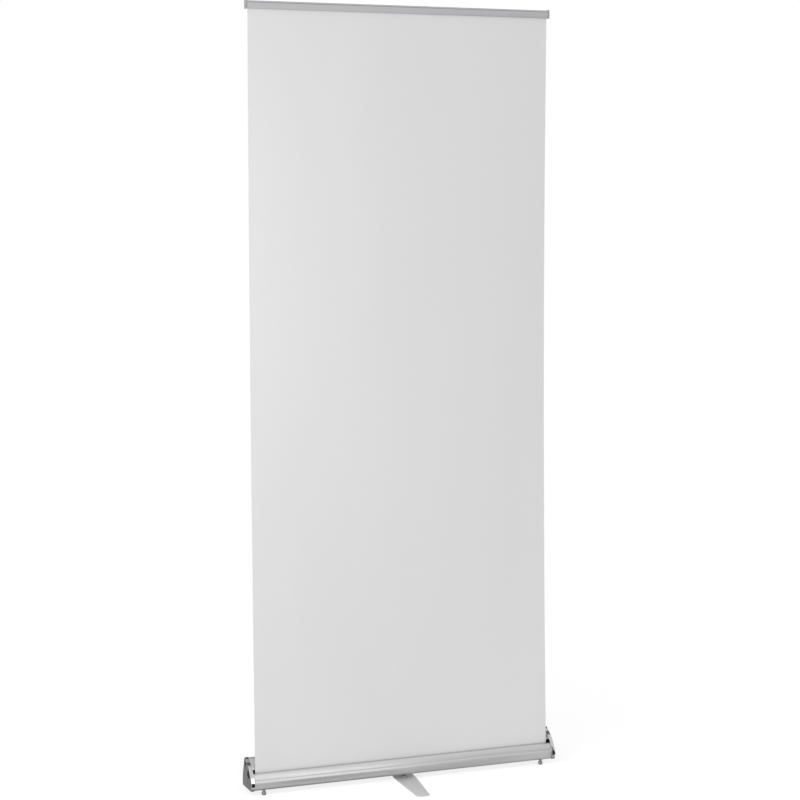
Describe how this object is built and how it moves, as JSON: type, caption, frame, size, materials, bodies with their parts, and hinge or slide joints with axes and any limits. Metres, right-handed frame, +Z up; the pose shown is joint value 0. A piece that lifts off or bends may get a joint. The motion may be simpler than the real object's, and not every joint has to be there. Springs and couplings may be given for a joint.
{
  "type": "roll-up banner stand",
  "caption": "Free-standing roll-up banner stand: blank banner drawn from a spring roller in a flat-bottomed cassette up to a top rail on a telescopic mast, with a flat swivel foot.",
  "frame": {"origin": "on the ground under the pivot of the swivel foot, which is the middle of the footprint", "axes": "+Z up, X along the casing with +X to the right seen from the banner's face, -Y to the front, where the banner faces"},
  "size_m": [0.8868, 0.3802, 2.0828],
  "materials": {
    "anodised": "satin anodised extrusion",
    "bright_cap": "bright metallised moulding",
    "dark_cover": "dark grey moulded, fine texture",
    "mast_tube": "drawn tube, satin",
    "steel": "zinc plated",
    "foot_metal": "silver powder coat",
    "black_plastic": "black moulded",
    "nylon": "natural moulded",
    "rubber": "matt",
    "film": "blank coated banner film, matt",
    "leader": "plain leader film"
  },
  "bodies": {
    "stand_base": {"cassette_body": "anodised", "end_cap_left": "bright_cap", "end_cap_right": "bright_cap", "end_cover_left": "dark_cover", "end_cover_right": "dark_cover", "cap_screw_left_1": "steel", "cap_screw_left_2": "steel", "cap_screw_left_3": "steel", "cap_screw_right_1": "steel", "cap_screw_right_2": "steel", "cap_screw_right_3": "steel", "spring_axle": "steel", "spring_anchor": "nylon", "torsion_spring": "steel", "idle_pin": "steel", "banner": "film", "mast_socket": "black_plastic", "mast_lower": "mast_tube", "mast_collar_lower": "black_plastic", "pivot_bolt": "steel", "pivot_washer": "nylon", "pivot_spacer": "steel", "pivot_plate": "steel", "level_nut_left": "steel", "level_nut_right": "steel"},
    "roller": {"roller_tube": "mast_tube", "roller_plug_left": "nylon", "roller_plug_right": "nylon", "leader_wrap": "leader"},
    "mast_middle_section": {"mast_middle": "mast_tube", "mast_glide_middle": "nylon", "mast_collar_middle": "black_plastic"},
    "rail_and_mast_top": {"rail_rear": "anodised", "rail_cap_left": "bright_cap", "rail_cap_right": "bright_cap", "mast_upper": "mast_tube", "mast_glide_upper": "nylon", "mast_top_hook": "black_plastic"},
    "rail_jaw": {"rail_front_jaw": "anodised"},
    "swivel_foot": {"foot_bar": "foot_metal", "foot_pad_front": "rubber", "foot_pad_rear": "rubber"},
    "levelling_foot_left": {"level_foot_left": "steel"},
    "levelling_foot_right": {"level_foot_right": "steel"}
  },
  "joints": [
    {"name": "rail_height", "type": "slide", "parent": "stand_base", "child": "rail_and_mast_top", "axis": [0, 0, 1], "range_m": [-1.23, 0], "deforming": ["banner"]},
    {"name": "mast_middle_slide", "type": "slide", "parent": "stand_base", "child": "mast_middle_section", "axis": [0, 0, 1], "range_m": [-0.615, 0]},
    {"name": "roller_spin", "type": "hinge", "parent": "stand_base", "child": "roller", "pos_m": [0, 0.0101, 0.04058], "axis": [1, 0, 0], "range_deg": [0, 4070]},
    {"name": "rail_jaw_open", "type": "hinge", "parent": "rail_and_mast_top", "child": "rail_jaw", "pos_m": [0, 0.019, 2.078], "axis": [-1, 0, 0], "range_deg": [0, 60]},
    {"name": "foot_swivel", "type": "hinge", "parent": "stand_base", "child": "swivel_foot", "pos_m": [0, 0, 0], "axis": [0, 0, 1], "range_deg": [-84.6, 5.4]},
    {"name": "level_left_height", "type": "slide", "parent": "stand_base", "child": "levelling_foot_left", "axis": [0, 0, 1], "range_m": [-0.006, 0]},
    {"name": "level_right_height", "type": "slide", "parent": "stand_base", "child": "levelling_foot_right", "axis": [0, 0, 1], "range_m": [-0.006, 0]}
  ],
  "couplings": [
    {"joint": "mast_middle_slide", "follows": "rail_height", "ratio": 0.5},
    {"joint": "roller_spin", "follows": "rail_height", "rad_per_m": -57.6}
  ]
}
